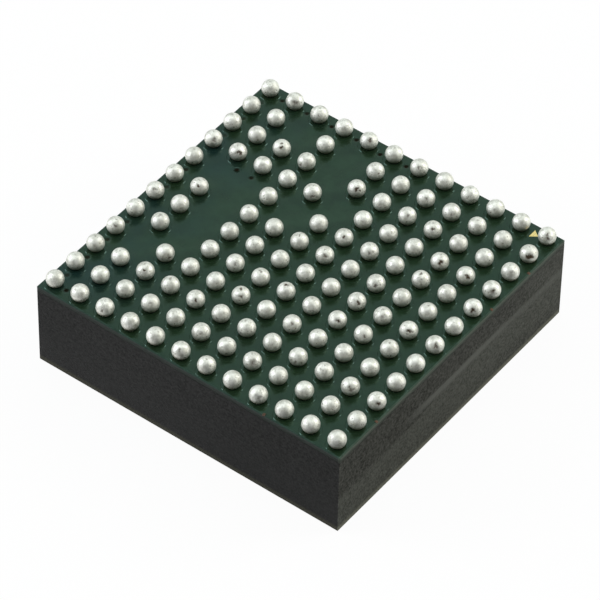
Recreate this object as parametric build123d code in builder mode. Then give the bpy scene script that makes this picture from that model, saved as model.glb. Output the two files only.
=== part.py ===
"""Step-down power module in a ball-grid package, lying on its moulded face with the balls up.

Millimetres. +Z points from the flat moulded face to the balls.
The origin is the centre of the moulded face, which is the face that it rests on.
+X and +Y run along the package's sides, and the gold mark is in the corner at +X +Y.
"""
from build123d import *
from math import atan, cos, degrees, pi, radians, sin, sqrt
import os

# Package
PACKAGE_SIDE = 15.0
MOULD_HEIGHT = 3.95
SUBSTRATE_THICKNESS = 0.30
TOTAL_HEIGHT = 4.92
SAWN_EDGE = 0.05

# Ball grid
BALLS_PER_SIDE = 12
BALL_PITCH = 1.27
BALL_DIAMETER = 0.75
BALL_SIDES = 8
BELT_ANGLE = 18
SHOULDER_ANGLE = 50
CROWN_FLAT = 0.10

# Gold corner mark: a triangle in an opening of the solder mask, pointing at the corner ball
MARK_LENGTH = 0.30
MARK_WIDTH = 0.45
MARK_TO_BALL = 0.055
MARK_THICKNESS = 0.02
MASK_THICKNESS = 0.03

# Solder under the inner parts
JOINT_THICKNESS = 0.05

# Chip parts: length, width, height
CHIP_LARGE = (3.2, 1.6, 1.6)
CHIP_MEDIUM = (2.0, 1.25, 1.25)
CHIP_SMALL = (1.6, 0.8, 0.8)
CHIP_TINY = (1.0, 0.5, 0.5)
RESISTOR_TINY = (1.0, 0.5, 0.35)
CHIP_END_SHARE = 0.25
CHIP_WAIST = 0.02

# Power coil: a pressed block round a flat winding
CORE_SIDE = 7.2
CORE_HEIGHT = 3.3
CORE_CORNER = 0.4
COIL_OUTER_RADIUS = 2.9
COIL_INNER_RADIUS = 1.5
COIL_HEIGHT = 1.7
TERMINAL_WIDTH = 2.0
TERMINAL_THICKNESS = 0.25
TERMINAL_LENGTH = 1.3

# Leadless packages: side along X, side along Y, height
CONTROL_CHIP = (4.0, 4.0, 0.85)
MOSFET = (3.3, 2.6, 0.9)
DIODE = (1.2, 0.8, 0.6)
PACKAGE_EDGE = 0.08
CONTROL_LEADS_PER_SIDE = 5
MOSFET_LEADS = 4
LEAD_PITCH = 0.65
LEAD_WIDTH = 0.3
LEAD_LENGTH = 0.4
LEAD_TO_PAD = 0.3

# Places of the inner parts on the board: x, y and turn in degrees
COIL_PLACE = (2.7, -1.6)
CONTROL_PLACE = (-4.3, 3.2)
UPPER_MOSFET_PLACE = (0.95, 3.75)
LOWER_MOSFET_PLACE = (4.9, 3.75)
BOOST_DIODE_PLACE = (-1.5, 6.2)
CHIP_PARTS = {
    "input_capacitors": (CHIP_LARGE, [(1.0, 6.1, 0), (5.0, 6.1, 0)]),
    "output_capacitors": (CHIP_MEDIUM, [(0.4, -6.3, 0), (2.9, -6.3, 0), (5.4, -6.3, 0)]),
    "boost_capacitor": (CHIP_SMALL, [(-1.5, 4.4, 90)]),
    "supply_capacitor": (CHIP_SMALL, [(-4.3, 6.2, 0)]),
    "soft_start_capacitor": (CHIP_TINY, [(-5.6, -0.4, 0)]),
    "compensation_capacitor": (CHIP_TINY, [(-5.6, -1.7, 0)]),
    "compensation_resistor": (RESISTOR_TINY, [(-5.6, -3.0, 0)]),
    "frequency_resistor": (RESISTOR_TINY, [(-5.6, -4.3, 0)]),
    "feedback_resistor": (RESISTOR_TINY, [(-3.2, -0.4, 0)]),
    "sense_resistor": (RESISTOR_TINY, [(-2.2, -3.0, 90)]),
    "sense_capacitor": (CHIP_TINY, [(-2.2, -4.6, 90)]),
}

# Worked out from the sizes above
PARTS_FACE = MOULD_HEIGHT - JOINT_THICKNESS
BALL_FACE = MOULD_HEIGHT + SUBSTRATE_THICKNESS
BALL_RADIUS = BALL_DIAMETER / 2
BALL_CENTRE = TOTAL_HEIGHT - BALL_RADIUS
GRID_HALF_SPAN = (BALLS_PER_SIDE - 1) / 2 * BALL_PITCH

# Ball rows run from A, beside the +Y side, to M at -Y. Columns run from 1 at +X to 12 at -X.
ROW_NAMES = "ABCDEFGHJKLM"
INPUT_BALLS = {"A": range(1, 7), "B": range(1, 7), "C": range(1, 7)}
GROUND_BALLS = {
    "B": (7, 9),
    "C": (7, 9),
    "D": (1, 2, 3, 4, 5, 6, 8),
    "E": (1, 2, 3, 4, 5, 6, 7, 9),
    "F": range(1, 10),
    "G": range(1, 10),
    "H": range(1, 10),
}
OUTPUT_BALLS = {"J": range(1, 11), "K": range(1, 12), "L": range(1, 12), "M": range(1, 12)}
EMPTY_PLACES = {
    "B": (8, 10),
    "C": (8,),
    "D": (7,),
    "E": (8, 10, 11),
    "F": (10,),
    "G": (10,),
    "H": (10,),
    "J": (11,),
}
POWER_BANKS = (INPUT_BALLS, GROUND_BALLS, OUTPUT_BALLS)


def ball_place(row, column):
    """Centre of one place of the ball grid."""
    x = GRID_HALF_SPAN - (column - 1) * BALL_PITCH
    y = GRID_HALF_SPAN - ROW_NAMES.index(row) * BALL_PITCH
    return (x, y)


def bank_places(bank):
    """Centres of the balls of one power bank."""
    return [ball_place(row, column) for row, columns in bank.items() for column in columns]


def signal_places():
    """Centres of the balls that are in no power bank."""
    places = []
    for row in ROW_NAMES:
        for column in range(1, BALLS_PER_SIDE + 1):
            if not any(column in bank.get(row, ()) for bank in (*POWER_BANKS, EMPTY_PLACES)):
                places.append(ball_place(row, column))
    return places


def facet_distance(height):
    """Distance of a ball's flat facets from its axis, with the cut area of the round ball."""
    half_facet = pi / BALL_SIDES
    round_radius = sqrt(BALL_RADIUS**2 - height**2) / sqrt(cos(radians(BELT_ANGLE)))
    return round_radius * sqrt(half_facet / sin(half_facet) * cos(half_facet))


def solder_ball():
    """One reflowed ball, cut off where it is soldered, as bands of facets from foot to crown."""
    belt = BALL_RADIUS * sin(radians(BELT_ANGLE))
    shoulder = BALL_RADIUS * sin(radians(SHOULDER_ANGLE))
    foot = BALL_CENTRE - BALL_FACE
    rings = (
        (belt, facet_distance(belt)),
        (shoulder, facet_distance(shoulder)),
        (BALL_RADIUS, CROWN_FLAT),
    )
    with BuildPart() as ball:
        with BuildSketch(Plane.XY.offset(BALL_FACE)):
            RegularPolygon(facet_distance(belt), BALL_SIDES, major_radius=False)
        extrude(amount=foot + belt)
        soldered = ball.faces().sort_by(Axis.Z)[0]
        inset = facet_distance(belt) - facet_distance(foot)
        chamfer(soldered.edges(), inset, foot - belt, reference=soldered)
        for (low, low_distance), (high, high_distance) in zip(rings, rings[1:]):
            narrowing = degrees(atan((low_distance - high_distance) / (high - low)))
            extrude(ball.faces().sort_by(Axis.Z)[-1], amount=high - low, taper=narrowing)
    return ball.part


def ball_bank(places):
    """The balls of one bank, each a solid of its own."""
    ball = solder_ball()
    with BuildPart() as bank:
        with Locations(*places):
            add(ball)
    return bank.part


def chip_part(size):
    """Chip capacitor or resistor below z = 0: a body between two plated ends."""
    length, width, height = size
    end_length = length * CHIP_END_SHARE
    with BuildPart() as chip:
        with Locations((0, 0, -height / 2)):
            Box(length, width - 2 * CHIP_WAIST, height - 2 * CHIP_WAIST)
            with GridLocations(length - end_length, 1, 2, 1):
                Box(end_length, width, height)
    return chip.part


def leadless_package(size):
    """Moulded leadless package below z = 0, with its edges broken on the far side."""
    length, width, height = size
    with BuildPart() as package:
        Box(length, width, height, align=(Align.CENTER, Align.CENTER, Align.MAX))
        chamfer(package.faces().sort_by(Axis.Z)[0].edges(), PACKAGE_EDGE)
    return package.part


def coil_winding():
    """Flat winding below z = 0, whose two ends leave the block and fold under it as terminals."""
    block_side = CORE_SIDE / 2
    outer_side = block_side + TERMINAL_THICKNESS
    coil_middle = -CORE_HEIGHT / 2
    with BuildPart() as winding:
        with BuildSketch(Plane.YZ):
            with Locations((outer_side, coil_middle)):
                lead_length = outer_side - (COIL_OUTER_RADIUS + COIL_INNER_RADIUS) / 2
                Rectangle(lead_length, TERMINAL_THICKNESS, align=(Align.MAX, Align.CENTER))
            with Locations((outer_side, 0)):
                upright_height = TERMINAL_THICKNESS / 2 - coil_middle
                Rectangle(TERMINAL_THICKNESS, upright_height, align=(Align.MAX, Align.MAX))
                Rectangle(TERMINAL_LENGTH, TERMINAL_THICKNESS, align=(Align.MAX, Align.MAX))
        extrude(amount=TERMINAL_WIDTH / 2, both=True)
        mirror(about=Plane.XZ)
        with BuildSketch(Plane.XY.offset(coil_middle - COIL_HEIGHT / 2)):
            Circle(COIL_OUTER_RADIUS)
            Circle(COIL_INNER_RADIUS, mode=Mode.SUBTRACT)
        extrude(amount=COIL_HEIGHT)
    return winding.part


def coil_core(winding):
    """Pressed powder block below z = 0, formed round the winding."""
    with BuildPart() as core:
        with BuildSketch() as outline:
            Rectangle(CORE_SIDE, CORE_SIDE)
            chamfer(outline.vertices(), CORE_CORNER)
        extrude(amount=-CORE_HEIGHT)
        add(winding, mode=Mode.SUBTRACT)
    return core.part


def two_end_pads(size, end_length):
    """Solder under the two ends of a part, above z = 0."""
    length, width, _ = size
    with BuildPart() as pads:
        with GridLocations(length - end_length, 1, 2, 1):
            Box(end_length, width, JOINT_THICKNESS, align=(Align.CENTER, Align.CENTER, Align.MIN))
    return pads.part


def lead_pads(size, leads, leads_on_four_sides):
    """Solder under a leadless package, above z = 0: one large pad between rows of leads."""
    length, width, _ = size
    margin = 2 * (LEAD_LENGTH + LEAD_TO_PAD)
    pad_length = length - margin if leads_on_four_sides else length - 2 * LEAD_TO_PAD
    with BuildPart() as pads:
        with BuildSketch():
            Rectangle(pad_length, width - margin)
            with GridLocations(LEAD_PITCH, width - LEAD_LENGTH, leads, 2):
                Rectangle(LEAD_WIDTH, LEAD_LENGTH)
            if leads_on_four_sides:
                with GridLocations(length - LEAD_LENGTH, LEAD_PITCH, 2, leads):
                    Rectangle(LEAD_LENGTH, LEAD_WIDTH)
        extrude(amount=JOINT_THICKNESS)
    return pads.part


def placed(part, *places):
    """Copies of a part at the board's inner face, one at each x, y and turn."""
    with BuildPart() as group:
        with Locations(*[Location((x, y, PARTS_FACE), (0, 0, turn)) for x, y, turn in places]):
            add(part)
    return group.part


def finish(node, part):
    """Name a finished piece and write it."""
    part.label = node
    export_step(part, f"parts/{node}.step")
    return part


os.makedirs("parts", exist_ok=True)

# Power coil
winding_form = coil_winding()
inner_parts = {
    "inductor_winding": placed(winding_form, (*COIL_PLACE, 0)),
    "inductor_core": placed(coil_core(winding_form), (*COIL_PLACE, 0)),
}

# Leadless packages
inner_parts["control_chip"] = placed(leadless_package(CONTROL_CHIP), (*CONTROL_PLACE, 0))
inner_parts["upper_mosfet"] = placed(leadless_package(MOSFET), (*UPPER_MOSFET_PLACE, 0))
inner_parts["lower_mosfet"] = placed(leadless_package(MOSFET), (*LOWER_MOSFET_PLACE, 0))
inner_parts["boost_diode"] = placed(leadless_package(DIODE), (*BOOST_DIODE_PLACE, 0))

# Capacitors and resistors
for node, (size, places) in CHIP_PARTS.items():
    inner_parts[node] = placed(chip_part(size), *places)

# Solder under every terminal of the inner parts
coil_pads = two_end_pads((CORE_SIDE + 2 * TERMINAL_THICKNESS, TERMINAL_WIDTH, 0), TERMINAL_LENGTH)
mosfet_pads = lead_pads(MOSFET, MOSFET_LEADS, leads_on_four_sides=False)
diode_pads = two_end_pads(DIODE, LEAD_LENGTH)
control_pads = lead_pads(CONTROL_CHIP, CONTROL_LEADS_PER_SIDE, leads_on_four_sides=True)
with BuildPart() as solder_joints:
    add(placed(coil_pads, (*COIL_PLACE, 90)))
    add(placed(control_pads, (*CONTROL_PLACE, 0)))
    add(placed(mosfet_pads, (*UPPER_MOSFET_PLACE, 0), (*LOWER_MOSFET_PLACE, 0)))
    add(placed(diode_pads, (*BOOST_DIODE_PLACE, 0)))
    for size, places in CHIP_PARTS.values():
        add(placed(two_end_pads(size, size[0] * CHIP_END_SHARE), *places))
inner_parts["solder_joints"] = solder_joints.part

# Gold corner mark, its foot at the bottom of the mask opening
mark_tip = GRID_HALF_SPAN - BALL_RADIUS - MARK_TO_BALL
mark_outline = [
    (mark_tip, GRID_HALF_SPAN),
    (mark_tip - MARK_LENGTH, GRID_HALF_SPAN + MARK_WIDTH / 2),
    (mark_tip - MARK_LENGTH, GRID_HALF_SPAN - MARK_WIDTH / 2),
]
with BuildPart() as pin_one_mark:
    with BuildSketch(Plane.XY.offset(BALL_FACE - MASK_THICKNESS)):
        with BuildLine():
            Polyline(*mark_outline, close=True)
        make_face()
    extrude(amount=MARK_THICKNESS)

# Laminate board with its solder mask, open over the gold mark
with BuildPart() as substrate:
    with BuildSketch(Plane.XY.offset(MOULD_HEIGHT)):
        Rectangle(PACKAGE_SIDE, PACKAGE_SIDE)
    extrude(amount=SUBSTRATE_THICKNESS)
    chamfer(substrate.faces().sort_by(Axis.Z)[-1].edges(), SAWN_EDGE)
    with BuildSketch(Plane.XY.offset(BALL_FACE)):
        with BuildLine():
            Polyline(*mark_outline, close=True)
        make_face()
    extrude(amount=-MASK_THICKNESS, mode=Mode.SUBTRACT)

# Moulding, cast on the board round everything that is soldered to it
with BuildPart() as mould_cap:
    with BuildSketch():
        Rectangle(PACKAGE_SIDE, PACKAGE_SIDE)
    extrude(amount=MOULD_HEIGHT)
    chamfer(mould_cap.faces().sort_by(Axis.Z)[0].edges(), SAWN_EDGE)
    for part in inner_parts.values():
        add(part, mode=Mode.SUBTRACT)

# Every piece under its node's name
finish("mould_cap", mould_cap.part)
finish("substrate", substrate.part)
finish("pin_one_mark", pin_one_mark.part)
finish("input_balls", ball_bank(bank_places(INPUT_BALLS)))
finish("ground_balls", ball_bank(bank_places(GROUND_BALLS)))
finish("output_balls", ball_bank(bank_places(OUTPUT_BALLS)))
finish("signal_balls", ball_bank(signal_places()))
for node, part in inner_parts.items():
    finish(node, part)
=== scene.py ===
"""Looks for the ball-grid power module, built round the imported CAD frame.

Sizes are in millimetres and become metres with MM where Blender takes them.
The module lies on its moulded face, with its solder balls up.
"""
import math
import random

import bmesh
import bpy
import numpy as np
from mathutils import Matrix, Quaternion, Vector
from mathutils.geometry import delaunay_2d_cdt


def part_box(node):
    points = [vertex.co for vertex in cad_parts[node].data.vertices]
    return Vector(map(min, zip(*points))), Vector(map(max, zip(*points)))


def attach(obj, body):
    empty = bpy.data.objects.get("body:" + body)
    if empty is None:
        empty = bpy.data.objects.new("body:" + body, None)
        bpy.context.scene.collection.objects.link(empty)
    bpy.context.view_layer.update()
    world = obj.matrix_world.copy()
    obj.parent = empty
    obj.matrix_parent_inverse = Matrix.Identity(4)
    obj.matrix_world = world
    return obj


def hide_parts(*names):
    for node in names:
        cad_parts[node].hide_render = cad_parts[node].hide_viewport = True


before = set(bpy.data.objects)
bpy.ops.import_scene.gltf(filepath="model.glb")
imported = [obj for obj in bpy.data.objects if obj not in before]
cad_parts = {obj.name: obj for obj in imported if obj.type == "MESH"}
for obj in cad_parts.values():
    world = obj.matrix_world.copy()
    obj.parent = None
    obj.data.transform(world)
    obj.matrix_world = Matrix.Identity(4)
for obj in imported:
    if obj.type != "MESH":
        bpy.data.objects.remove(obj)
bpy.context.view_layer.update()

MM = 0.001

# Sizes shared with the CAD part
BALL_PITCH = 1.27
BALLS_PER_SIDE = 12
BALL_RADIUS = 0.375
BOARD_CHAMFER = 0.05
BALL_NODES = ("input_balls", "ground_balls", "output_balls", "signal_balls")

board_low, board_high = (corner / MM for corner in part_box("substrate"))
BOARD_TOP = board_high.z
BOARD_FOOT = board_low.z
HALF_SIDE = board_high.x
BALL_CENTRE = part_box("ground_balls")[1].z / MM - BALL_RADIUS

# Camera: where it stands, the point that it looks at, its turn in degrees, its lens and its reach
CAMERA_PLACE = (76.04, -102.78, 133.91)
CAMERA_AIM = (1.367, -1.962, 4.560)
CAMERA_ROLL = 1.08
CAMERA_LENS = 274.35
CAMERA_REACH = (10.0, 5000.0)

# Solder mask: its step over each copper pad, its sag between pads and the reach of that, and the
# opening round each ball's foot
MASK_DIP = 0.012
PAD_RADIUS = 0.455
PAD_SLOPE = 0.013
MASK_SAG = 0.026
SAG_REACH = 0.92
OPENING_RADIUS = 0.245
OPENING_DEPTH = 0.015
OPENING_EDGE = 0.001

RANDOM_SEED = 11


def grid_place(column, row):
    """Place on the board of a point given in pitches from the ball at -X -Y."""
    middle = (BALLS_PER_SIDE - 1) / 2
    return ((column - middle) * BALL_PITCH, (row - middle) * BALL_PITCH)


def smooth_step(value, low, high):
    """0 below low, 1 above high and a smooth rise between them."""
    share = np.clip((np.asarray(value, float) - low) / (high - low), 0, 1)
    return share * share * (3 - 2 * share)


def node_points(node):
    """Corner points of a CAD node's mesh, in millimetres."""
    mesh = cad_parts[node].data
    points = np.zeros(len(mesh.vertices) * 3, np.float32)
    mesh.vertices.foreach_get("co", points)
    return points.reshape(-1, 3) / MM


def ball_places(node):
    """Grid places of the balls in a CAD node, as (along X, along Y)."""
    middle = (BALLS_PER_SIDE - 1) / 2
    nearest = np.rint(node_points(node)[:, :2] / BALL_PITCH + middle).astype(int)
    return sorted({tuple(place) for place in nearest.tolist()})


def new_piece(name, points, faces, material, smooth=True):
    """A mesh piece in the row frame from points in millimetres, riding on the body."""
    mesh = bpy.data.meshes.new(name)
    mesh.from_pydata([tuple(point) for point in np.asarray(points) * MM], [], faces)
    mesh.validate()
    mesh.materials.append(material)
    piece = bpy.data.objects.new(name, mesh)
    bpy.context.scene.collection.objects.link(piece)
    if smooth:
        mesh.shade_smooth()
    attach(piece, "root")
    return piece


def set_point_values(piece, name, values):
    """One number for each point of a mesh, for its material to read."""
    attribute = piece.data.attributes.new(name, "FLOAT", "POINT")
    attribute.data.foreach_set("value", np.asarray(values, np.float32))


# Node trees

class Nodes:
    """Short ways to add nodes to a shader tree and to join them."""

    def __init__(self, tree):
        self.tree = tree
        self.nodes = tree.nodes

    def feed(self, socket, value):
        if isinstance(value, bpy.types.NodeSocket):
            self.tree.links.new(value, socket)
        elif value is not None:
            socket.default_value = value

    def math(self, operation, first, second=None, clamp=False):
        node = self.nodes.new("ShaderNodeMath")
        node.operation = operation
        node.use_clamp = clamp
        self.feed(node.inputs[0], first)
        self.feed(node.inputs[1], second)
        return node.outputs[0]

    def vector(self, operation, first, second=None):
        node = self.nodes.new("ShaderNodeVectorMath")
        node.operation = operation
        self.feed(node.inputs[0], first)
        self.feed(node.inputs[1], second)
        return node.outputs["Value" if operation in ("DOT_PRODUCT", "LENGTH") else "Vector"]

    def split(self, vector):
        node = self.nodes.new("ShaderNodeSeparateXYZ")
        self.feed(node.inputs[0], vector)
        return node.outputs

    def join(self, value):
        """A vector with the same value three times."""
        node = self.nodes.new("ShaderNodeCombineXYZ")
        for socket in node.inputs:
            self.feed(socket, value)
        return node.outputs[0]

    def noise(self, vector, scale, detail=2.0, roughness=0.5):
        node = self.nodes.new("ShaderNodeTexNoise")
        self.feed(node.inputs["Vector"], vector)
        node.inputs["Scale"].default_value = scale
        node.inputs["Detail"].default_value = detail
        node.inputs["Roughness"].default_value = roughness
        return node.outputs["Fac"]

    def cells(self, vector, scale):
        """Distance to the nearest of many scattered points."""
        node = self.nodes.new("ShaderNodeTexVoronoi")
        self.feed(node.inputs["Vector"], vector)
        node.inputs["Scale"].default_value = scale
        return node.outputs["Distance"]

    def spread(self, value, low, high, to_low=0.0, to_high=1.0, smooth=False):
        """value from low..high to to_low..to_high, held at the ends."""
        node = self.nodes.new("ShaderNodeMapRange")
        if smooth:
            node.interpolation_type = "SMOOTHSTEP"
        for name, number in (("Value", value), ("From Min", low), ("From Max", high),
                             ("To Min", to_low), ("To Max", to_high)):
            self.feed(node.inputs[name], number)
        return node.outputs["Result"]

    def blend(self, share, first, second):
        """Colour between first and second."""
        node = self.nodes.new("ShaderNodeMix")
        node.data_type = "RGBA"
        self.feed(node.inputs["Factor"], share)
        for socket, colour in ((node.inputs[6], first), (node.inputs[7], second)):
            self.feed(socket, (*colour, 1) if isinstance(colour, tuple) else colour)
        return node.outputs[2]

    def mix_shaders(self, share, first, second):
        """Shader between first and second."""
        node = self.nodes.new("ShaderNodeMixShader")
        for socket, value in zip(node.inputs, (share, first, second)):
            self.feed(socket, value)
        return node.outputs[0]

    def attribute(self, name):
        node = self.nodes.new("ShaderNodeAttribute")
        node.attribute_name = name
        return node.outputs["Fac"]

    def bump(self, height, distance, normal=None):
        """Surface normal over a height whose full range is distance, in millimetres."""
        node = self.nodes.new("ShaderNodeBump")
        node.inputs["Distance"].default_value = distance * MM
        self.feed(node.inputs["Height"], height)
        self.feed(node.inputs["Normal"], normal)
        return node.outputs["Normal"]


class Material(Nodes):
    """A procedural material whose patterns follow the piece, in millimetres."""

    def __init__(self, name, **constants):
        self.material = bpy.data.materials.new(name)
        self.material.use_nodes = True
        super().__init__(self.material.node_tree)
        self.shader = self.nodes["Principled BSDF"]
        coordinates = self.nodes.new("ShaderNodeTexCoord")
        self.place = self.vector("MULTIPLY", coordinates.outputs["Object"], (1 / MM,) * 3)
        for socket, value in constants.items():
            self.set(socket.replace("_", " "), value)

    def set(self, socket, value):
        if isinstance(value, tuple):
            value = (*value, 1)
        self.feed(self.shader.inputs[socket], value)

    def stretched(self, along, upright):
        """Place for a pattern that runs along the sides, squeezed by these along and upright."""
        return self.vector("MULTIPLY", self.place, (along, along, upright))


# Materials

SOLDER_CLEAN = ((0.655, 0.66, 0.59), (1.0, 1.0, 0.94))
SOLDER_PATCH = (0.42, 0.415, 0.35)
# Painted shade under the balls, partly flux residue
SOLDER_RESIDUE_AND_SHADE = (0.23, 0.20, 0.13)
SOLDER_SPECK = (0.22, 0.20, 0.15)
SOLDER_STAIN = (0.085, 0.058, 0.034)
# How much of the specks shows on a ball's upper part and below it, and the heights over its
# middle between which that changes
SPECK_SHARES = (0.35, 0.95)
SPECK_HEIGHTS = (0.26, 0.04)
# Under the balls, in millimetres below their middle: where the underside's painted shade, partly flux
# residue, begins and is full, then where it weakens beside the foot
UNDERSIDE_FROM = -0.03
UNDERSIDE_FULL = 0.22
UNDERSIDE_WEAK = 0.28


def solder_material():
    """Satin tin alloy of the balls: mottled grain, tiny pits, brown-grey stains, and painted shade,
    partly flux residue, on their undersides.
    """
    m = Material("solder_ball", Metallic=0.8)
    height = m.split(m.place)[2]
    mottle = m.noise(m.place, 6.5, 4.0, 0.68)
    grain = m.noise(m.place, 22.0, 2.0, 0.6)

    # Specks in chosen areas, more of them on the lower part
    warped = m.vector("ADD", m.place, m.vector("MULTIPLY", m.join(mottle), (0.12, 0.12, 0.12)))
    specks = m.spread(m.cells(warped, 8.0), 0.12, 0.30, 1.0, 0.0)
    chosen = m.spread(m.noise(m.place, 4.0, 2.0, 0.6), 0.44, 0.54)
    specks = m.math("MULTIPLY", specks, chosen)
    speck_share = m.spread(height, *(BALL_CENTRE + over for over in SPECK_HEIGHTS), *SPECK_SHARES)

    # Stains in the marks, with a ragged outline
    ragged = m.spread(m.noise(m.place, 12.0, 3.0, 0.7), 0.30, 0.56, 0.40, 1.6)
    stain = m.math("MULTIPLY", m.attribute("stain"), ragged, clamp=True)

    clean = m.blend(m.spread(mottle, 0.34, 0.66), *SOLDER_CLEAN)
    patches = m.spread(m.noise(m.place, 3.2, 2.0), 0.42, 0.64)
    clean = m.blend(m.math("MULTIPLY", patches, 0.34), clean, SOLDER_PATCH)
    # Painted shade on each ball's underside, partly flux residue, darker and browner below its middle
    under = m.spread(height, BALL_CENTRE - UNDERSIDE_FROM, BALL_CENTRE - UNDERSIDE_FULL, smooth=True)
    painted_shade_strength = m.spread(height, BALL_CENTRE - UNDERSIDE_FULL, BALL_CENTRE - UNDERSIDE_WEAK, 0.88, 0.35)
    clean = m.blend(m.math("MULTIPLY", under, painted_shade_strength), clean, SOLDER_RESIDUE_AND_SHADE)
    speckled = m.blend(m.math("MULTIPLY", specks, speck_share), clean, SOLDER_SPECK)
    m.set("Base Color", m.blend(stain, speckled, SOLDER_STAIN))
    roughness = m.spread(grain, 0.3, 0.7, 0.48, 0.60)
    m.set("Roughness", m.math("ADD", roughness, m.math("MULTIPLY", stain, 0.2), clamp=True))
    soft = m.bump(mottle, 0.020)
    fine = m.bump(grain, 0.005, normal=soft)
    m.set("Normal", m.bump(m.math("MULTIPLY", specks, -1.0), 0.010, normal=fine))
    return m.material


MASK_GREENS = ((0.009, 0.021, 0.008), (0.010, 0.020, 0.010))
MASK_CLOUD = (0.014, 0.032, 0.015)
MASK_BLUISH = (0.004, 0.018, 0.022)
MASK_DUST = (0.10, 0.13, 0.10)
MASK_HOLLOW = (0.010, 0.008, 0.004)
# The cut edge of the mask, which holds a painted highlight, the laminate under it and its lighter
# upper band: on the plain sides, then on the side at +X, which is the lit one and painted lighter for
# its light
MASK_CUT_EDGE_AND_HIGHLIGHT = ((0.038, 0.066, 0.052), (0.062, 0.092, 0.071))
LAMINATE = ((0.029, 0.032, 0.029), (0.050, 0.055, 0.049))
# Painted light: the laminate lighter on the side at +X
LAMINATE_LIT = (0.080, 0.088, 0.075)
LAMINATE_BANDS = ((0.054, 0.063, 0.057), (0.100, 0.116, 0.096))
# Depths below the board's top between which the lighter band sets in
BAND_DEPTHS = (0.24, 0.07)
# How far inside the chamfer the cut edge of the mask begins
CUT_WIDTH = 0.022


def mask_material():
    """Dark green glossy solder mask, with the lighter sawn laminate at the board's sides, a painted
    highlight on the mask's cut edge and painted light on the side at +X.
    """
    m = Material("solder_mask", IOR=1.465, Specular_Tint=(0.56, 1.0, 0.85))
    x, y, z = m.split(m.place)
    drift = m.noise(m.place, 0.35, 2.0)
    cloud = m.noise(m.place, 2.3, 3.0, 0.6)
    peel = m.noise(m.place, 9.0, 2.0, 0.5)
    fibres = m.noise(m.stretched(0.6, 16.0), 1.6, 3.0, 0.6)
    sawn = m.attribute("sawn")
    hollow = m.attribute("hollow")
    # Painted light: the side at +X takes lighter copies of the laminate and cut-edge colours
    lit_side = m.math("GREATER_THAN", x, HALF_SIDE - 0.08)

    # The mask: clouded green, bluish towards -X, dusty in places and darker in its hollows
    green = m.blend(m.spread(drift, 0.35, 0.65), *MASK_GREENS)
    green = m.blend(m.spread(cloud, 0.3, 0.75), green, MASK_CLOUD)
    bluish = m.math("MULTIPLY", m.spread(x, -3.0, -6.5), m.spread(drift, 0.45, 0.6))
    green = m.blend(m.math("MULTIPLY", bluish, 0.6), green, MASK_BLUISH)
    dust = m.spread(m.cells(m.place, 7.0), 0.05, 0.09, 1.0, 0.0)
    dust = m.math("MULTIPLY", dust, m.spread(m.noise(m.place, 3.1, 1.0), 0.60, 0.66))
    green = m.blend(m.math("MULTIPLY", dust, 0.3), green, MASK_DUST)
    green = m.blend(hollow, green, MASK_HOLLOW)

    # The laminate, with its lighter band under the mask, both painted lighter on the side at +X for
    # its light
    laminate = m.blend(m.spread(fibres, 0.3, 0.7), *LAMINATE)
    laminate = m.blend(m.math("MULTIPLY", lit_side, 0.6), laminate, LAMINATE_LIT)
    band = m.spread(z, *(BOARD_TOP - depth for depth in BAND_DEPTHS))
    band = m.math("MULTIPLY", band, m.spread(fibres, 0.25, 0.6, 0.5, 1.0))
    laminate = m.blend(band, laminate, m.blend(lit_side, *LAMINATE_BANDS))

    # The mask's cut edge along the chamfer, with a painted highlight that is brighter on the side at
    # +X
    outward = m.math("MAXIMUM", m.math("ABSOLUTE", x), m.math("ABSOLUTE", y))
    chamfer = HALF_SIDE - BOARD_CHAMFER
    cut_edge = m.spread(outward, chamfer - CUT_WIDTH, chamfer)
    # Painted highlight on the cut edge, ragged by the cloud pattern
    cut_highlight_share = m.math("MULTIPLY", cut_edge, m.spread(cloud, 0.3, 0.6, 0.6, 1.0))
    green = m.blend(cut_highlight_share, green, m.blend(lit_side, *MASK_CUT_EDGE_AND_HIGHLIGHT))

    m.set("Base Color", m.blend(sawn, green, laminate))
    gloss = m.spread(cloud, 0.3, 0.7, 0.08, 0.15)
    dull = m.math("MAXIMUM", cut_edge, hollow)
    m.set("Roughness", m.spread(dull, 0.0, 1.0, gloss, 0.6))
    m.set("Specular IOR Level", m.spread(dull, 0.0, 1.0, 0.5, 0.02))
    relief = m.bump(cloud, 0.006)
    relief = m.bump(peel, 0.0012, normal=relief)
    scratched = m.math("MULTIPLY", fibres, sawn)
    m.set("Normal", m.bump(scratched, 0.006, normal=relief))
    return m.material


MOULD_PLAIN = ((0.0178, 0.0174, 0.0171), (0.0475, 0.0461, 0.0448))
MOULD_PLAIN_STREAK = (0.043, 0.043, 0.040)
# Painted light low on the plain sides, towards the floor
MOULD_PLAIN_PAINTED_LOWER_LIGHT = (0.048, 0.047, 0.0455)
MOULD_PLAIN_FOOT = (0.077, 0.074, 0.057)
# On the side at +X, which is the lit one: real dust and a saw streak, and all its colours painted
# lighter than the other sides' for its light
MOULD_LIT = ((0.0135, 0.0135, 0.012), (0.090, 0.090, 0.081))
MOULD_LIT_DUST = ((0.036, 0.037, 0.032), (0.108, 0.110, 0.098))
MOULD_LIT_STREAK = (0.112, 0.114, 0.104)
MOULD_LIT_FOOT = (0.148, 0.148, 0.119)
MOULD_FLECK = (0.30, 0.30, 0.28)
# Height of the lighter band at the foot: where it begins and is full
FOOT_BAND = (0.34, 0.18)
# The lit side's dust: from y to y, and the height that it reaches at each
DUST_BOUND = (-2.5, 1.0, 1.95, 2.75)
SAW_STREAK_HEIGHT = 2.5


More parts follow.
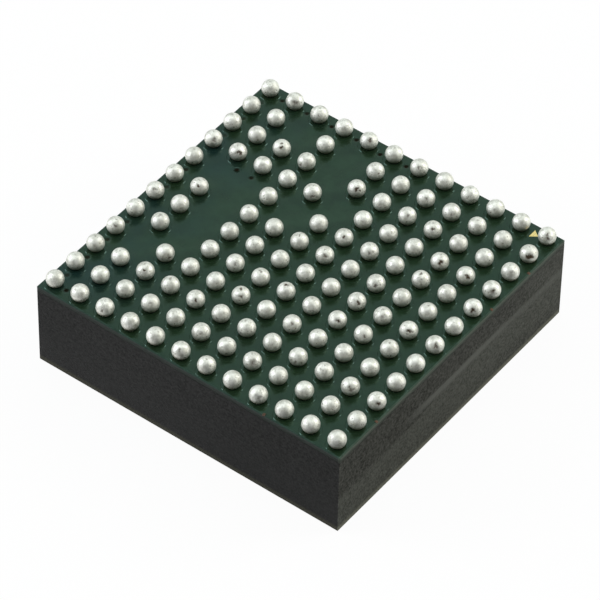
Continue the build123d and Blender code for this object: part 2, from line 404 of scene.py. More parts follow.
def mould_material():
    """Black filled epoxy: fine matte grain, saw marks along the sides and a lighter foot, with
    painted light on the side at +X and low on the other sides.
    """
    m = Material("mould_compound", Specular_IOR_Level=0.02)
    x, y, z = m.split(m.place)
    grain = m.noise(m.place, 11.0, 3.0, 0.7)
    grained = m.spread(grain, 0.3, 0.7)
    drift = m.noise(m.place, 0.5, 2.0)
    streaks = m.noise(m.stretched(0.16, 9.0), 1.0, 4.0, 0.65)
    ragged = m.spread(streaks, 0.3, 0.7, -0.12, 0.12)
    foot = m.spread(z, *FOOT_BAND)
    # Painted light: the side at +X takes lighter copies of the mould's colours
    lit_side = m.math("GREATER_THAN", x, HALF_SIDE - 0.02)

    # The lit side's patterns: dusty below a slanting bound and less so in its low far corner,
    # with a lighter saw streak along it and more dust towards its end
    below = m.math("SUBTRACT", m.spread(y, *DUST_BOUND), z)
    dusty = m.spread(m.math("ADD", below, ragged), -0.15, 0.15, smooth=True)
    corner = m.math("MULTIPLY", m.spread(z, 1.05, 0.75), m.spread(y, 1.0, 3.5))
    dusty = m.math("SUBTRACT", dusty, m.math("MULTIPLY", corner, 0.45), clamp=True)
    away = m.math("ABSOLUTE", m.math("SUBTRACT", z, SAW_STREAK_HEIGHT))
    streak = m.spread(m.math("ADD", away, ragged), 0.06, 0.30, 1.0, 0.0, smooth=True)
    streak = m.math("MULTIPLY", streak, m.spread(y, -3.8, -1.2, smooth=True))
    streak = m.math("MULTIPLY", streak, m.spread(y, 1.5, 4.5, 1.0, 0.6))
    end = m.spread(y, 4.4, 5.6)

    lit = m.blend(grained, *MOULD_LIT)
    dust = m.blend(grained, *MOULD_LIT_DUST)
    lit = m.blend(m.math("MAXIMUM", dusty, m.math("MULTIPLY", end, 0.55)), lit, dust)
    lit = m.blend(m.math("MULTIPLY", streak, 0.85), lit, MOULD_LIT_STREAK)
    lit = m.blend(foot, lit, MOULD_LIT_FOOT)

    plain = m.blend(grained, *MOULD_PLAIN)
    streaked = m.math("MULTIPLY", m.spread(streaks, 0.35, 0.7), 0.3)
    plain = m.blend(streaked, plain, MOULD_PLAIN_STREAK)
    # Painted light: the plain sides lighter towards their foot
    plain = m.blend(m.spread(z, 3.0, 0.4, 0.0, 0.5), plain, MOULD_PLAIN_PAINTED_LOWER_LIGHT)
    plain = m.blend(foot, plain, MOULD_PLAIN_FOOT)

    black = m.blend(lit_side, plain, lit)
    flecks = m.spread(m.cells(m.place, 5.0), 0.035, 0.07, 1.0, 0.0)
    flecks = m.math("MULTIPLY", flecks, m.spread(m.noise(m.place, 2.7, 1.0), 0.60, 0.64))
    m.set("Base Color", m.blend(m.math("MULTIPLY", flecks, 0.5), black, MOULD_FLECK))
    m.set("Roughness", m.spread(drift, 0.3, 0.7, 0.52, 0.64))
    sawn = m.bump(streaks, 0.010)
    m.set("Normal", m.bump(grain, 0.012, normal=sawn))
    return m.material


def gold_material():
    """Thin gold plating: satin, a little uneven."""
    m = Material("gold_plating", Metallic=1.0)
    cloud = m.noise(m.place, 12.0, 3.0, 0.6)
    m.set("Base Color", m.blend(cloud, (0.90, 0.70, 0.26), (0.96, 0.79, 0.36)))
    m.set("Roughness", m.spread(cloud, 0.3, 0.7, 0.22, 0.38))
    m.set("Normal", m.bump(m.noise(m.place, 40.0, 2.0), 0.002))
    return m.material


def grained_material(name, light, dark, grain_scale, relief, roughness, metallic=0.0):
    """A grained surface between two colours, for the parts inside the moulding."""
    m = Material(name, Metallic=metallic)
    grain = m.noise(m.place, grain_scale, 3.0, 0.6)
    drift = m.noise(m.place, grain_scale / 8, 2.0)
    m.set("Base Color", m.blend(m.spread(grain, 0.3, 0.7), dark, light))
    m.set("Roughness", m.spread(drift, 0.3, 0.7, roughness - 0.06, roughness + 0.06))
    m.set("Normal", m.bump(grain, relief))
    return m.material


# Light

# Share of the white background that the camera sees in the floor, over its shaded colour
FLOOR_WHITE_SHARE = 0.95
# Share of it that mirrors show, as they do in a tent whose walls are less bright than its light
MIRRORED_SHARE = 0.12
FLOOR_RADIUS = 1500.0
FLOOR_POINTS = 64
# The floor lies this far under the module, so that the two faces don't coincide
FLOOR_DROP = 0.002
# The floor as mirrors show it: painted shade towards the camera and a painted pool of light on the
# left, glowing as if lit by a softbox. Each has a direction along X and Y, and the cosines to it
# where it begins and is full.
FLOOR_PAINTED_SHADE = ((0.59, -0.81), 0.1, 0.8)
FLOOR_PAINTED_POOL = ((-0.83, -0.56), 0.2, 0.8)
# Brightness of the painted pool of light on the floor, where 1 is white
FLOOR_PAINTED_POOL_LIGHT = 0.9
# How much of the floor's light the painted shade takes away
FLOOR_DARKER = 0.97

# The tent's walls: brightness at the horizon and overhead, the height in a direction of length 1
# from which it is overhead, then broad lighter patches of wall
TENT_HORIZON = 0.02
TENT_OVERHEAD = 0.14
TENT_OVERHEAD_FROM = 0.9
TENT_TINT = (1.0, 1.0, 0.965)
TENT_PATCHES = (
    # towards, how narrow, brightness, colour
    ((-0.418, 0.565, 0.711), 3.0, 0.73, (0.90, 1.0, 0.99)),
    ((0.0, 0.0, 1.0), 22.0, 3.40, (0.95, 1.0, 1.0)),
    ((-0.742, -0.498, 0.448), 5.0, 0.20, (1.0, 1.0, 1.0)),
    ((0.85, 0.50, 0.10), 8.0, 1.30, (1.0, 1.0, 0.88)),
)

# The tent's opening round the camera: towards, how narrow and how much darker
TENT_OPENING = ((0.52, -0.70, 0.50), 3.5, 0.75)

# Softboxes: towards, side length, power and colour
SOFTBOX_DISTANCE = 300.0
SOFTBOXES = {
    "left_softbox": ((-0.742, -0.498, 0.448), 150.0, 0.495, (0.93, 0.965, 1.03)),
    "right_softbox": ((0.553, 0.627, 0.549), 120.0, 0.345, (1.0, 1.0, 0.97)),
}


def background_rays(tree):
    """1 for rays that show the background: the camera's, through glass and, in part, from mirrors."""
    path = tree.nodes.new("ShaderNodeLightPath").outputs
    seen = tree.math("ADD", path["Is Camera Ray"], path["Is Transmission Ray"])
    mirrored = tree.math("MULTIPLY", path["Is Glossy Ray"], MIRRORED_SHARE)
    return tree.math("ADD", seen, mirrored, clamp=True)


def floor_part(m, direction, low, high):
    """0 to 1 over the floor, as the cosine to a direction along X and Y goes from low to high."""
    towards = m.vector("DOT_PRODUCT", m.place, (*direction, 0.0))
    return m.spread(m.math("DIVIDE", towards, m.vector("LENGTH", m.place)), low, high, smooth=True)


def floor_material():
    """Pale floor with the module's shadow: white to the camera and glass, and in part to mirrors,
    which see painted shade and a glowing painted pool of light on it.
    """
    m = Material("pale_floor", Roughness=0.8)
    fibres = m.noise(m.place, 0.8, 2.0)
    m.set("Base Color", m.blend(m.spread(fibres, 0.3, 0.7), (0.88, 0.88, 0.88), (0.90, 0.90, 0.90)))
    m.set("Normal", m.bump(fibres, 0.01))
    white = m.nodes.new("ShaderNodeEmission")
    white_share = m.math("MULTIPLY", background_rays(m), FLOOR_WHITE_SHARE)
    pale = m.mix_shaders(white_share, m.shader.outputs[0], white.outputs[0])

    # Painted shade and a glowing painted pool of light, seen by mirrors only
    shade = floor_part(m, *FLOOR_PAINTED_SHADE)
    painted_pool = floor_part(m, *FLOOR_PAINTED_POOL)
    painted_pool_light = m.nodes.new("ShaderNodeEmission")
    m.feed(painted_pool_light.inputs["Strength"], m.math("MULTIPLY", painted_pool, FLOOR_PAINTED_POOL_LIGHT))
    painted_change = m.math("MAXIMUM", m.math("MULTIPLY", shade, FLOOR_DARKER), painted_pool)
    mirrored = m.nodes.new("ShaderNodeLightPath").outputs["Is Glossy Ray"]
    surface = m.mix_shaders(m.math("MULTIPLY", mirrored, painted_change), pale, painted_pool_light.outputs[0])
    m.feed(m.nodes["Material Output"].inputs["Surface"], surface)
    return m.material


def falling_off(tree, towards, direction, narrow):
    """1 in one direction, less and less away from it."""
    cosine = tree.vector("DOT_PRODUCT", towards, Vector(direction).normalized())
    return tree.math("EXPONENT", tree.math("MULTIPLY", tree.math("SUBTRACT", cosine, 1.0), narrow))


def build_world():
    """White background for the camera, and the soft walls of a light tent for the object."""
    world = bpy.data.worlds.new("light_tent")
    bpy.context.scene.world = world
    world.use_nodes = True
    w = Nodes(world.node_tree)
    towards = w.vector("NORMALIZE", w.nodes.new("ShaderNodeTexCoord").outputs["Generated"])
    level = w.spread(w.split(towards)[2], 0.0, TENT_OVERHEAD_FROM, TENT_HORIZON, TENT_OVERHEAD)
    light = w.vector("MULTIPLY", w.join(level), TENT_TINT)
    for direction, narrow, brightness, colour in TENT_PATCHES:
        patch = w.join(falling_off(w, towards, direction, narrow))
        patch = w.vector("MULTIPLY", patch, tuple(brightness * part for part in colour))
        light = w.vector("ADD", light, patch)
    direction, narrow, darker = TENT_OPENING
    opening = w.math("MULTIPLY", falling_off(w, towards, direction, narrow), darker)
    light = w.vector("MULTIPLY", light, w.join(w.math("SUBTRACT", 1.0, opening)))
    tent = w.nodes["Background"]
    w.feed(tent.inputs["Color"], light)
    white = w.nodes.new("ShaderNodeBackground")
    white.inputs["Color"].default_value = (1, 1, 1, 1)
    seen = w.mix_shaders(background_rays(w), tent.outputs[0], white.outputs[0])
    w.feed(w.nodes["World Output"].inputs["Surface"], seen)


def build_lamps():
    """The two softboxes, aimed at the module."""
    for name, (towards, side, power, colour) in SOFTBOXES.items():
        lamp = bpy.data.lights.new(name, "AREA")
        lamp.shape = "SQUARE"
        lamp.size = side * MM
        lamp.energy = power
        lamp.color = colour
        lamp_object = bpy.data.objects.new(name, lamp)
        direction = Vector(towards).normalized()
        lamp_object.location = direction * SOFTBOX_DISTANCE * MM
        lamp_object.rotation_mode = "QUATERNION"
        lamp_object.rotation_quaternion = direction.to_track_quat("Z", "Y")
        bpy.context.scene.collection.objects.link(lamp_object)


def build_floor():
    """Round pale floor under the module."""
    mesh = bpy.data.meshes.new("floor")
    form = bmesh.new()
    bmesh.ops.create_circle(form, cap_ends=True, segments=FLOOR_POINTS,
                            radius=FLOOR_RADIUS * MM)
    form.to_mesh(mesh)
    form.free()
    mesh.materials.append(floor_material())
    floor = bpy.data.objects.new("floor", mesh)
    floor.location.z = -FLOOR_DROP * MM
    bpy.context.scene.collection.objects.link(floor)


def camera_rotation():
    """Turn of a camera that looks from its place at its aim, with a slight roll."""
    towards = Vector(CAMERA_AIM) - Vector(CAMERA_PLACE)
    roll = Quaternion((0, 0, 1), math.radians(CAMERA_ROLL))
    return towards.to_track_quat("-Z", "Y") @ roll


def build_camera():
    """Camera at the photograph's viewing angle."""
    camera = bpy.data.cameras.new("camera")
    camera.lens = CAMERA_LENS
    camera.clip_start, camera.clip_end = (reach * MM for reach in CAMERA_REACH)
    camera_object = bpy.data.objects.new("camera", camera)
    camera_object.location = Vector(CAMERA_PLACE) * MM
    camera_object.rotation_mode = "QUATERNION"
    camera_object.rotation_quaternion = camera_rotation()
    bpy.context.scene.collection.objects.link(camera_object)
    bpy.context.scene.camera = camera_object
    return camera_object


# Solder balls

# How finely a ball is divided, and a ball with a mark that is smaller, in radians, than FINE_MARK
# or darker than DARK_MARK
SMOOTH_LEVEL = 4
MARKED_LEVEL = 5
FINE_MARK = 0.09
DARK_MARK = 0.5

# A mark's size over the dark core that is listed, its depth in mm over its size, and how much
# darker it is than listed
MARK_GROWTH = 1.65
MARK_DEPTH = 0.05
MARK_DARKER = 1.15
# Share of the balls with a faint mark at the top
CROWN_SHARE = 0.7
# A mark is full within this share of its size, and its outline has these lobes: count and depth
MARK_CORE = 0.25
MARK_LOBES = ((2, 0.28), (3, 0.20), (5, 0.12))
# The direction from which turns round a mark are measured, which no mark has
ASIDE = (0.0, 0.31, 0.95)


def sphere_form(level):
    """Points and faces of a ball of radius 1 built from equal triangles."""
    form = bmesh.new()
    bmesh.ops.create_icosphere(form, subdivisions=level, radius=1.0)
    points = np.array([vertex.co for vertex in form.verts])
    faces = np.array([[vertex.index for vertex in face.verts] for face in form.faces])
    form.free()
    return points, faces


def seen_direction(camera_axes, right, up):
    """Direction from a ball's centre to the point seen at right and up, in ball radii."""
    towards = math.sqrt(max(0.0, 1 - right * right - up * up))
    return camera_axes @ np.array((right, up, towards))


def ball_marks(place, camera_axes, random_source):
    """Marks on one ball: direction, size in radians, depth in mm and darkness."""
    marks = []
    if random_source.random() < CROWN_SHARE:
        lean = random_source.uniform(0.0, 0.16)
        turn = random_source.uniform(0, 2 * math.pi)
        crown = np.array((lean * math.cos(turn), lean * math.sin(turn), 1.0))
        size = random_source.uniform(0.10, 0.20)
        depth = random_source.uniform(0.002, 0.006)
        marks.append((crown, size, depth, random_source.uniform(0.05, 0.40)))
    for _ in range(random_source.choice((0, 0, 1, 1, 2))):
        direction = np.array([random_source.gauss(0, 1) for _ in range(3)])
        size = random_source.uniform(0.05, 0.10)
        depth = random_source.uniform(0.002, 0.007)
        marks.append((direction, size, depth, random_source.uniform(0.1, 0.4)))
    for right, up, size, darkness in SEEN_MARKS.get(place, ()):
        direction = seen_direction(camera_axes, right, up)
        size *= MARK_GROWTH
        marks.append((direction, size, size * MARK_DEPTH, min(1.0, darkness * MARK_DARKER)))
    return marks


# Marks seen on balls, by grid place: how far right and up of the middle as the camera sees it,
# and radius, in ball radii, then darkness
SEEN_MARKS = {
    (0, 3): ((0.0, -0.10, 0.17, 0.50),),
    (0, 5): ((-0.05, 0.10, 0.16, 0.45),),
    (0, 8): ((0.10, -0.20, 0.20, 0.40),),
    (1, 4): ((0.0, 0.66, 0.20, 0.30),),
    (1, 6): ((-0.12, 0.0, 0.13, 0.80), (0.0, 0.70, 0.12, 0.25)),
    (1, 8): ((0.06, -0.05, 0.16, 0.95), (0.35, -0.18, 0.12, 0.75), (0.22, -0.30, 0.09, 0.60)),
    (1, 11): ((0.05, -0.22, 0.22, 0.45),),
    (2, 0): ((-0.28, -0.40, 0.12, 0.50),),
    (2, 2): ((-0.10, 0.05, 0.11, 0.85),),
    (2, 3): ((0.30, -0.28, 0.12, 0.35), (0.48, -0.55, 0.20, 0.50)),
    (2, 9): ((-0.06, 0.03, 0.15, 0.95), (-0.02, 0.50, 0.12, 0.65)),
    (2, 11): ((-0.10, -0.20, 0.10, 0.35),),
    (3, 0): ((0.60, -0.45, 0.16, 0.30),),
    (3, 1): ((0.0, 0.0, 0.12, 0.40),),
    (3, 2): ((0.0, 0.68, 0.16, 0.40),),
    (3, 3): ((-0.15, -0.05, 0.12, 0.30),),
    (3, 9): ((-0.68, -0.40, 0.16, 0.45),),
    (4, 2): ((0.0, -0.02, 0.10, 0.60), (0.03, -0.16, 0.12, 0.80)),
    (4, 4): ((0.0, -0.10, 0.15, 0.40),),
    (4, 8): ((-0.10, -0.46, 0.14, 0.55), (0.12, -0.44, 0.12, 0.50), (0.45, -0.55, 0.10, 0.40)),
    (4, 11): ((0.06, 0.02, 0.22, 0.60), (0.20, -0.05, 0.10, 0.45)),
    (5, 0): ((-0.15, 0.05, 0.15, 0.45),),
    (5, 1): ((0.0, -0.15, 0.14, 0.35),),
    (5, 2): ((-0.42, -0.58, 0.16, 0.30),),
    (5, 3): ((0.0, 0.70, 0.17, 0.60), (0.0, -0.15, 0.17, 0.50), (0.22, 0.05, 0.09, 0.30)),
    (5, 4): ((0.0, 0.62, 0.16, 0.50),),
    (5, 6): ((0.0, 0.58, 0.10, 0.50),),
    (5, 9): ((-0.04, -0.10, 0.18, 0.95), (0.34, -0.24, 0.10, 0.60)),
    (5, 10): ((0.33, -0.28, 0.09, 0.55),),
    (6, 1): ((0.0, -0.78, 0.14, 0.35),),
    (6, 4): ((0.0, 0.70, 0.20, 0.70),),
    (6, 6): ((0.0, -0.10, 0.17, 0.55), (0.0, 0.62, 0.14, 0.30)),
    (6, 7): ((-0.04, 0.02, 0.13, 0.95),),
    (6, 11): ((-0.10, -0.05, 0.13, 0.45),),
    (7, 1): ((0.05, -0.15, 0.24, 0.40),),
    (7, 3): ((0.0, 0.0, 0.15, 0.45),),
    (7, 7): ((-0.05, -0.22, 0.13, 0.50), (0.36, -0.08, 0.09, 0.35)),
    (7, 9): ((0.05, 0.0, 0.14, 0.45),),
    (7, 10): ((0.0, -0.03, 0.13, 0.40),),
    (8, 0): ((0.0, -0.28, 0.24, 0.25),),
    (8, 2): ((-0.28, -0.60, 0.15, 0.50), (0.34, -0.66, 0.10, 0.45)),
    (8, 4): ((0.04, -0.10, 0.18, 0.60),),
    (8, 5): ((0.10, -0.06, 0.13, 0.95), (0.25, -0.24, 0.12, 0.85), (0.08, -0.28, 0.08, 0.50)),
    (8, 6): ((-0.12, -0.28, 0.15, 0.60), (0.05, -0.24, 0.08, 0.40)),
    (8, 9): ((-0.03, 0.04, 0.17, 0.60), (0.0, 0.70, 0.12, 0.30)),
    (8, 10): ((-0.05, -0.30, 0.14, 0.35), (0.20, -0.26, 0.12, 0.35)),
    (8, 11): ((-0.22, -0.28, 0.10, 0.35), (0.35, -0.62, 0.10, 0.45)),
    (9, 4): ((0.08, -0.24, 0.12, 0.60),),
    (9, 5): ((0.0, -0.08, 0.16, 0.35), (0.0, 0.70, 0.14, 0.35)),
    (9, 7): ((0.0, 0.62, 0.15, 0.60), (0.0, 0.0, 0.08, 0.50)),
    (9, 8): ((0.05, -0.12, 0.22, 0.85),),
    (10, 2): ((-0.12, -0.02, 0.12, 0.50), (0.0, -0.38, 0.20, 0.40), (0.30, -0.30, 0.12, 0.35)),
    (10, 4): ((0.0, 0.60, 0.12, 0.50),),
    (10, 5): ((0.03, -0.08, 0.20, 0.75), (0.34, -0.20, 0.12, 0.50), (-0.20, -0.40, 0.10, 0.35)),
    (10, 8): ((0.10, -0.10, 0.18, 0.95), (0.32, -0.25, 0.12, 0.80)),
    (11, 2): ((0.15, -0.28, 0.18, 0.70),),
    (11, 5): ((0.08, -0.15, 0.23, 0.60),),
    (11, 7): ((-0.08, -0.28, 0.19, 0.85), (0.14, -0.34, 0.10, 0.50)),
    (11, 8): ((0.05, -0.20, 0.20, 0.60),),
    (11, 9): ((0.06, -0.08, 0.14, 0.30),),
    (11, 10): ((0.12, -0.38, 0.26, 0.95), (-0.14, -0.34, 0.20, 0.85), (-0.02, -0.12, 0.12, 0.45)),
    (11, 11): ((-0.05, 0.10, 0.14, 0.65), (0.0, -0.28, 0.14, 0.60)),
}


def mark_reach(unit, direction, size, random_source):
    """How far into a ragged round mark points of a ball are, from 0 to 1."""
    angle = np.arccos(np.clip(unit @ direction, -1, 1))
    side = np.cross(direction, ASIDE)
    side /= np.linalg.norm(side)
    turn = np.arctan2(unit @ np.cross(direction, side), unit @ side)
    outline = np.ones(len(unit))
    for lobes, depth in MARK_LOBES:
        outline += depth * np.sin(lobes * turn + random_source.uniform(0, 2 * math.pi))
    return 1 - smooth_step(angle / outline, MARK_CORE * size, size)


def ball_form(marks, forms, random_source):
    """One ball of radius 1 before its foot is cut: its points, triangles and stain."""
    marked = any(size < FINE_MARK or darkness > DARK_MARK for _, size, _, darkness in marks)
    unit, triangles = forms[MARKED_LEVEL if marked else SMOOTH_LEVEL]
    inward = np.zeros(len(unit))
    stain = np.zeros(len(unit))
    for direction, size, depth, darkness in marks:
        reach = mark_reach(unit, direction / np.linalg.norm(direction), size, random_source)
        inward = np.maximum(inward, reach * depth)
        stain = np.maximum(stain, reach * darkness)
    return unit * (BALL_RADIUS - inward)[:, None] / BALL_RADIUS, triangles, stain


def build_balls(camera_object):
    """Round balls in place of the faceted CAD ones, with their foot cut at the board."""
    camera_axes = np.array(camera_object.rotation_quaternion.to_matrix())
    forms = {level: sphere_form(level) for level in (SMOOTH_LEVEL, MARKED_LEVEL)}
    material = solder_material()
    random_source = random.Random(RANDOM_SEED)
    foot = (BOARD_TOP - OPENING_DEPTH - BALL_CENTRE) / BALL_RADIUS
    for node in BALL_NODES:
        points, faces, stains = [], [], []
        count = 0
        for place in ball_places(node):
            marks = ball_marks(place, camera_axes, random_source)
            form, triangles, stain = ball_form(marks, forms, random_source)
            form[:, 2] = np.maximum(form[:, 2], foot)
            centre = np.array((*grid_place(*place), BALL_CENTRE))
            points.append(centre + form * BALL_RADIUS)
            faces.append(triangles + count)
            stains.append(stain)
            count += len(form)
        piece = new_piece(f"round_{node}", np.concatenate(points),
                          np.concatenate(faces).tolist(), material)
        set_point_values(piece, "stain", np.concatenate(stains))
        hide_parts(node)


# Board

# Rings of points round each pad. Those within the step stand in line, the others are staggered
PAD_RINGS = (0.245, 0.262, 0.31, 0.37, 0.42, 0.4545, 0.455, 0.4555, 0.4675, 0.468, 0.4685, 0.51,
             0.55, 0.59)
STEP_RINGS = (0.45, 0.47)
RING_POINTS = 40
# Points between the rings, and how far they all stay inside the border
FILL_STEP = 0.12
BORDER_GAP = 0.01
EDGE_POINTS = 150
# The mask's opening over the gold mark: its two outlines over the mark's own, its depth, the room
# round it without other points, and the level mask round it
OPENING_OUTLINES = (1.03, 1.07)
MARK_DROP = 0.03
MARK_ROOM = (0.20, 0.26)
MARK_LEVEL = (0.30, 0.36)
# Loops down the board's sides: in from the side, below the top and how sawn
SIDE_LOOPS = ((0.012, 0.036, 0.0), (0.0, BOARD_CHAMFER, 0.3), (0.0, 0.07, 1.0), (0.0, 0.16, 1.0),
              (0.0, BOARD_TOP - BOARD_FOOT, 1.0))
# The saw left the board's sides uneven: how far in, at most, as a share of half its width
SAW_WANDER = 0.0006

# Small hollows in the mask over plugged holes, in pitches from the ball at -X -Y
VIAS = {
    # place: how deep and dark
    (1.31, 7.54): 1.0, (1.90, 7.53): 0.9, (0.43, 0.01): 1.0,
    (0.51, 10.98): 0.9, (1.50, 11.0): 0.9, (2.50, 11.0): 1.0,
    (3.50, 11.0): 1.0, (4.50, 10.93): 1.0, (5.49, 11.0): 1.0,
    (0.03, 0.55): 0.7, (0.03, 1.55): 0.85, (0.03, 2.55): 0.75,
    (0.03, 3.55): 0.7, (0.03, 5.55): 0.6, (0.03, 6.55): 0.8,
    (0.03, 8.55): 0.5, (0.03, 9.55): 0.6, (0.03, 10.5): 0.4,
}
VIA_CORE = 0.05
VIA_RADIUS = 0.15
VIA_DEPTH = 0.03
VIA_RINGS = (0.02, 0.05, 0.07, 0.09, 0.11, 0.13, 0.15)
VIA_RING_POINTS = 20
VIA_GAP = 0.012


def ring(centre, radius, count, shift):
    """Points round a circle, turned by a share of their spacing."""
    angles = (np.arange(count) + shift) * 2 * math.pi / count
    return np.stack((centre[0] + radius * np.cos(angles), centre[1] + radius * np.sin(angles)), 1)


def mask_heights(flat, pads, mark):
    """Height of the mask's surface at points of the board, in millimetres."""
    height = np.full(len(flat), BOARD_TOP - MASK_DIP)
    sagged = np.ones(len(flat))
    for centre in pads:
        distance = np.hypot(*(flat - centre).T)
        sagged *= smooth_step(distance, PAD_RADIUS + PAD_SLOPE, SAG_REACH)
        copper = 1 - np.clip((distance - PAD_RADIUS) / PAD_SLOPE, 0, 1)
        height = np.maximum(height, BOARD_TOP - MASK_DIP * (1 - copper))
        height[distance < OPENING_RADIUS + OPENING_EDGE] = BOARD_TOP - OPENING_DEPTH
    away = np.abs(flat - mark.mean(0)).max(1)
    height = np.maximum(height, BOARD_TOP - MASK_DIP * smooth_step(away, *MARK_LEVEL))
    return height - MASK_SAG * sagged - VIA_DEPTH * via_shares(flat)


def via_shares(flat):
    """How far into a hollow over a plugged hole points of the board are, from 0 to 1."""
    share = np.zeros(len(flat))
    for place, strength in VIAS.items():
        distance = np.hypot(*(flat - grid_place(*place)).T)
        share = np.maximum(share, strength * (1 - smooth_step(distance, VIA_CORE, VIA_RADIUS)))
    return share


def board_outline(half_side, count):
    """Points round a square, count to a side, from the corner at -X -Y."""
    steps = np.linspace(-half_side, half_side, count + 1)[:-1]
    low = np.full(count, -half_side)
    return np.concatenate((np.stack((steps, low), 1), np.stack((-low, steps), 1),
                           np.stack((-steps, -low), 1), np.stack((low, -steps), 1)))


def mark_corners():
    """Corners of the gold mark's outline."""
    low, high = (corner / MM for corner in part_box("pin_one_mark"))
    return np.array(((high.x, (low.y + high.y) / 2), (low.x, high.y), (low.x, low.y)))


def to_nearest(flat, centres):
    """Distance from each point to the nearest centre."""
    return np.min([np.hypot(*(flat - centre).T) for centre in centres], 0)


def mask_points(pads, mark_middle, half_side):
    """Points within the mask's surface: round pads and vias, and evenly between them."""
    rings = []
    for index, radius in enumerate(PAD_RINGS):
        in_step = STEP_RINGS[0] < radius < STEP_RINGS[1]
        shift = 0 if in_step else (index % 2) / 2
        rings += [ring(centre, radius, RING_POINTS, shift) for centre in pads]
    steps = np.arange(-half_side, half_side, FILL_STEP)
    fill = np.stack(np.meshgrid(steps, steps), -1).reshape(-1, 2)
    fill = fill[to_nearest(fill, pads) > PAD_RINGS[-1] + FILL_STEP / 2]
    flat = np.concatenate((*rings, fill))
    vias = [np.array(grid_place(*place)) for place in VIAS]
    inside = np.abs(flat).max(1) < half_side - BORDER_GAP
    off_mark = (np.abs(flat - mark_middle) >= MARK_ROOM).any(1)
    off_vias = to_nearest(flat, vias) > VIA_RINGS[-1] + VIA_GAP
    via_rings = [ring(centre, radius, VIA_RING_POINTS, (index % 2) / 2)
                 for centre in vias for index, radius in enumerate(VIA_RINGS)]
    return np.concatenate((flat[inside & off_mark & off_vias], *via_rings))


def board_top():
    """Points and triangles of the board's upper face. Its border's points come first."""
    half_side = HALF_SIDE - BOARD_CHAMFER
    pads = [np.array(grid_place(*place)) for node in BALL_NODES for place in ball_places(node)]
    mark = mark_corners()
    middle = mark.mean(0)
    border = board_outline(half_side, EDGE_POINTS)
    outlines = [middle + (mark - middle) * growth for growth in OPENING_OUTLINES]
    flat = np.concatenate((border, *outlines, mask_points(pads, middle, half_side)))

    first = len(border)
    inner, outer = range(first, first + 3), range(first + 3, first + 6)
    edges = [(outline[a], outline[(a + 1) % 3]) for outline in (inner, outer) for a in range(3)]
    edges += [(a, (a + 1) % first) for a in range(first)]
    result = delaunay_2d_cdt([Vector(point) for point in flat], edges, [], 0, 1e-7, False)
    surface = np.array([tuple(point) for point in result[0]])
    height = mask_heights(surface, pads, mark)
    height[inner] = BOARD_TOP - MARK_DROP
    height[outer] = BOARD_TOP
    return np.column_stack((surface, height)), [tuple(face) for face in result[2]]


def build_board():
    """Board with its solder mask: raised over each pad, open round each ball and at the mark."""
    top, faces = board_top()
    points = [top]
    sawn = [np.zeros(len(top))]
    hollow = [via_shares(top[:, :2])]
    around = 4 * EDGE_POINTS
    loops = [np.arange(around)]
    count = len(top)
    wander = random.Random(RANDOM_SEED + 1)
    for inward, depth, cut in SIDE_LOOPS:
        loop = board_outline(HALF_SIDE - inward, EDGE_POINTS)
        loop *= np.array([1 - wander.uniform(0, SAW_WANDER) for _ in loop])[:, None]
        points.append(np.column_stack((loop, np.full(around, BOARD_TOP - depth))))
        sawn.append(np.full(around, cut))
        hollow.append(np.zeros(around))
        loops.append(np.arange(around) + count)
        count += around
    for upper, lower in zip(loops, loops[1:]):
        for a in range(around):
            b = (a + 1) % around
            faces.append((int(lower[a]), int(lower[b]), int(upper[b]), int(upper[a])))
    faces.append(tuple(int(a) for a in loops[-1][::-1]))
    piece = new_piece("board", np.concatenate(points), faces, mask_material())
    set_point_values(piece, "sawn", np.concatenate(sawn))
    set_point_values(piece, "hollow", np.concatenate(hollow))
    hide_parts("substrate")


# Ends of the plating traces where the board was sawn: side, then place along it in pitches
TRACE_ENDS = (("-y", 3), ("+x", -4), ("+x", 2), ("+x", 4))
TRACE_WIDTH = 0.11
# Their top and foot below the board's top, how far in they go and stand proud, and the bevel of
# their upper edge, along the board and down
TRACE_TOP = 0.008
TRACE_FOOT = 0.062
TRACE_DEPTH = 0.11
TRACE_PROUD = 0.004
TRACE_BEVEL = (0.035, 0.030)


def build_trace_ends():
    """Cut copper trace ends, tarnished, that show at the board's upper edge."""
    material = grained_material("tarnished_copper", (0.13, 0.065, 0.035), (0.06, 0.03, 0.016),
                                grain_scale=14, relief=0.003, roughness=0.6, metallic=0.3)
    inner, outer = HALF_SIDE - TRACE_DEPTH, HALF_SIDE + TRACE_PROUD
    top, foot = BOARD_TOP - TRACE_TOP, BOARD_TOP - TRACE_FOOT
    profile = ((inner, top), (outer - TRACE_BEVEL[0], top), (outer, top - TRACE_BEVEL[1]),
               (outer, foot), (inner, foot))
    size = len(profile)
    points, faces = [], []
    for side, pitches in TRACE_ENDS:
        along = pitches * BALL_PITCH
        first = len(points)
        for edge in (-TRACE_WIDTH / 2, TRACE_WIDTH / 2):
            for out, level in profile:
                points.append((out, along + edge, level) if side == "+x"
                              else (along - edge, -out, level))
        near = [first + a for a in range(size)]
        far = [first + size + a for a in range(size)]
        faces += [tuple(near[::-1]), tuple(far)]
        for a in range(size):
            b = (a + 1) % size
            faces.append((near[a], near[b], far[b], far[a]))
    new_piece("trace_ends", points, faces, material, smooth=False)


# Parts inside the moulding

# Share of a chip part's length that each plated end takes
PLATED_SHARE = 0.25


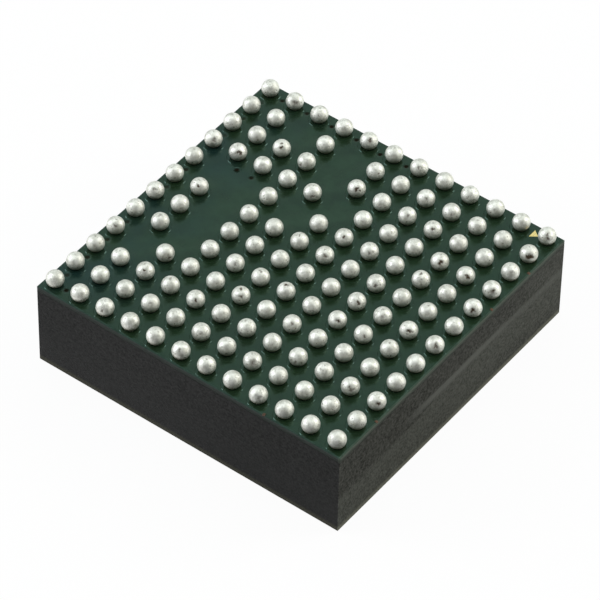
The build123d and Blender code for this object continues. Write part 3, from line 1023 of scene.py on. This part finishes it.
def end_faces(node):
    """For each face of a node of chip parts, 1 where it belongs to a plated end and else 0."""
    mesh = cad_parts[node].data
    centres = np.array([polygon.center for polygon in mesh.polygons]) / MM
    points = node_points(node)
    owner = np.arange(len(points))
    same = {}
    for index, point in enumerate(np.round(points, 4)):
        owner[index] = same.setdefault(tuple(point), index)
    group = {index: index for index in set(owner.tolist())}

    def root(index):
        while group[index] != index:
            index = group[index]
        return index

    for polygon in mesh.polygons:
        corners = [int(owner[vertex]) for vertex in polygon.vertices]
        for corner in corners[1:]:
            group[root(corner)] = root(corners[0])
    members = {}
    for polygon in mesh.polygons:
        members.setdefault(root(int(owner[polygon.vertices[0]])), []).append(polygon.index)
    plated = np.zeros(len(mesh.polygons), int)
    for faces in members.values():
        corners = np.concatenate([points[list(mesh.polygons[face].vertices)] for face in faces])
        low, high = corners.min(0), corners.max(0)
        along = int(np.argmax((high - low)[:2]))
        share = np.abs((centres[faces, along] - (low + high)[along] / 2) / (high - low)[along])
        plated[faces] = share > 0.5 - PLATED_SHARE
    return plated


def dress_inner_parts():
    """Materials for the parts that the moulding hides."""
    plating = grained_material("tin_plating", (0.72, 0.72, 0.70), (0.55, 0.55, 0.53),
                               grain_scale=14, relief=0.004, roughness=0.35, metallic=1.0)
    solder = grained_material("solder_joint", (0.66, 0.66, 0.63), (0.50, 0.50, 0.47),
                              grain_scale=9, relief=0.006, roughness=0.4, metallic=1.0)
    ceramic = grained_material("capacitor_body", (0.44, 0.31, 0.20), (0.36, 0.25, 0.16),
                               grain_scale=10, relief=0.003, roughness=0.55)
    resistor = grained_material("resistor_body", (0.10, 0.10, 0.11), (0.06, 0.06, 0.07),
                                grain_scale=12, relief=0.003, roughness=0.5)
    chip = grained_material("chip_moulding", (0.050, 0.050, 0.052), (0.028, 0.028, 0.030),
                            grain_scale=18, relief=0.006, roughness=0.6)
    powder = grained_material("pressed_powder", (0.20, 0.20, 0.21), (0.12, 0.12, 0.13),
                              grain_scale=8, relief=0.020, roughness=0.7)
    copper = grained_material("copper", (0.78, 0.38, 0.22), (0.62, 0.28, 0.15),
                              grain_scale=6, relief=0.003, roughness=0.35, metallic=1.0)
    for node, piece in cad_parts.items():
        if node.endswith(("_capacitor", "_capacitors", "_resistor")):
            body = resistor if node.endswith("_resistor") else ceramic
            materials = [body, plating]
            piece.data.polygons.foreach_set("material_index", end_faces(node))
        elif node.endswith(("_chip", "_mosfet", "_diode")):
            materials = [chip]
        elif node in ("inductor_core", "inductor_winding"):
            materials = [powder if node == "inductor_core" else copper]
        elif node == "solder_joints":
            materials = [solder]
        else:
            continue
        piece.data.materials.clear()
        for material in materials:
            piece.data.materials.append(material)


def dress(node, material):
    """Give a CAD node one material."""
    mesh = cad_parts[node].data
    mesh.materials.clear()
    mesh.materials.append(material)


bpy.context.scene.view_settings.view_transform = "Standard"
build_world()
build_lamps()
build_floor()
camera = build_camera()
build_balls(camera)
build_board()
dress("mould_cap", mould_material())
dress("pin_one_mark", gold_material())
dress_inner_parts()
build_trace_ends()
